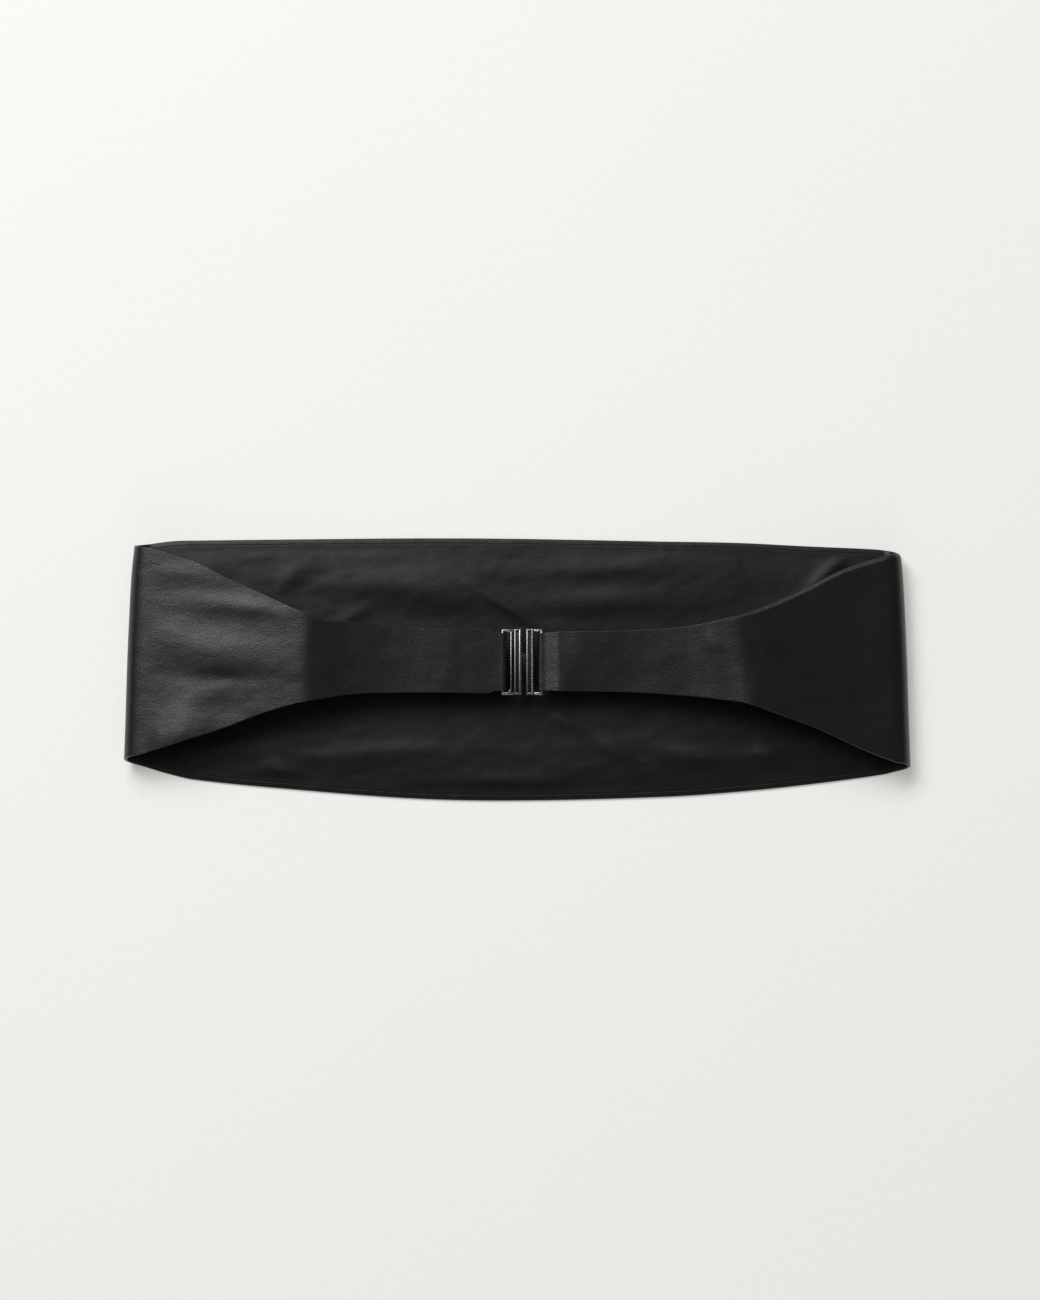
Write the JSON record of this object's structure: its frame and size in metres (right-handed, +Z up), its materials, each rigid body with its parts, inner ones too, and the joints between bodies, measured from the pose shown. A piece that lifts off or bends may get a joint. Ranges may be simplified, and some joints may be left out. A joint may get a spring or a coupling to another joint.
{
  "type": "cummerbund",
  "caption": "Satin waist sash lying folded flat, wide lined front below, tapering back wings above, joined by a fastened metal clasp.",
  "frame": {"origin": "middle of the part's box, on the surface that it lies on", "axes": "+X along the band, +Y towards the band's upper edge, +Z up, away from the surface"},
  "size_m": [0.3584, 0.1214, 0.024],
  "materials": {
    "satin": "satin",
    "lining": "soft sheen",
    "clasp_metal": "polished dark nickel"
  },
  "bodies": {
    "root": {"front_panel": "satin", "panel_lining": "lining", "left_wing": "satin", "right_wing": "satin", "clasp_socket": "clasp_metal", "clasp_tongue": "clasp_metal"}
  },
  "joints": []
}
